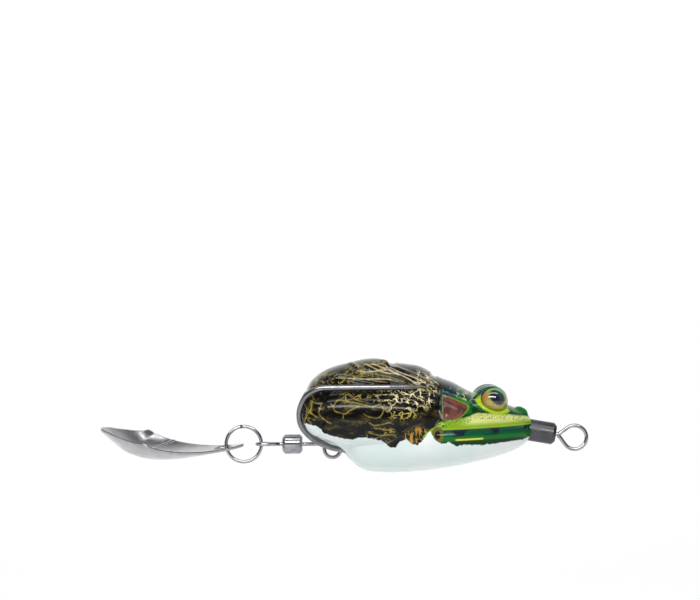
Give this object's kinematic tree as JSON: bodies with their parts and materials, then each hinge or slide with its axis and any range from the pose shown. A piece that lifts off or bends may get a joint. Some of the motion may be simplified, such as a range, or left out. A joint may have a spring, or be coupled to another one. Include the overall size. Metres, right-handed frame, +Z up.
{
  "type": "hollow frog fishing lure",
  "caption": "Soft hollow-bodied frog topwater lure with a double hook, belly weight, nose swivel line tie and a kite-shaped spinner blade on a tail swivel.",
  "frame": {"origin": "on the surface the belly rests on, below the middle of the lure's whole length and width", "axes": "+X to the frog's nose and line tie, +Y to its left, +Z up"},
  "size_m": [0.1051, 0.0292, 0.025],
  "materials": {
    "soft_body": "glossy painted soft PVC",
    "eye": "glossy moulded",
    "hook_steel": "black nickel plate on carbon steel",
    "weight_metal": "as cast",
    "swivel_nickel": "nickel plate",
    "black_nickel": "black nickel plate",
    "tail_nickel": "nickel plate",
    "ring_steel": "nickel plate",
    "blade_chrome": "mirror chrome"
  },
  "bodies": {
    "body": {"body_shell": "soft_body", "eye_left": "eye", "eye_right": "eye", "double_hook": "hook_steel", "belly_weight": "weight_metal", "weight_eye": "swivel_nickel", "nose_swivel_barrel": "black_nickel", "nose_link_eye": "swivel_nickel"},
    "line_tie": {"line_tie_eye": "swivel_nickel"},
    "tail_front": {"tail_front_eye": "swivel_nickel"},
    "tail_barrel": {"tail_swivel_barrel": "tail_nickel"},
    "tail_rear": {"tail_rear_eye": "swivel_nickel"},
    "ring": {"split_ring": "ring_steel"},
    "blade": {"spinner_blade": "blade_chrome"}
  },
  "joints": [
    {"name": "line_tie_spin", "type": "hinge", "parent": "body", "child": "line_tie", "pos_m": [0.0401, 0, 0.00919], "axis": [0.9863, 0, -0.165], "continuous": true},
    {"name": "tail_swing", "type": "hinge", "parent": "body", "child": "tail_front", "pos_m": [-0.00182, 0, 0.00505], "axis": [0, 1, 0], "range_deg": [-70, 10]},
    {"name": "tail_barrel_spin", "type": "hinge", "parent": "tail_front", "child": "tail_barrel", "pos_m": [-0.00916, 0, 0.00615], "axis": [1, 0, 0], "continuous": true},
    {"name": "tail_rear_spin", "type": "hinge", "parent": "tail_barrel", "child": "tail_rear", "pos_m": [-0.01346, 0, 0.00615], "axis": [1, 0, 0], "continuous": true},
    {"name": "ring_swing", "type": "hinge", "parent": "tail_rear", "child": "ring", "pos_m": [-0.01891, 0, 0.00615], "axis": [0, 1, 0], "range_deg": [-45, 45]},
    {"name": "blade_swing", "type": "hinge", "parent": "ring", "child": "blade", "pos_m": [-0.02559, 0, 0.00615], "axis": [0, 0, 1], "range_deg": [-50, 50]}
  ]
}
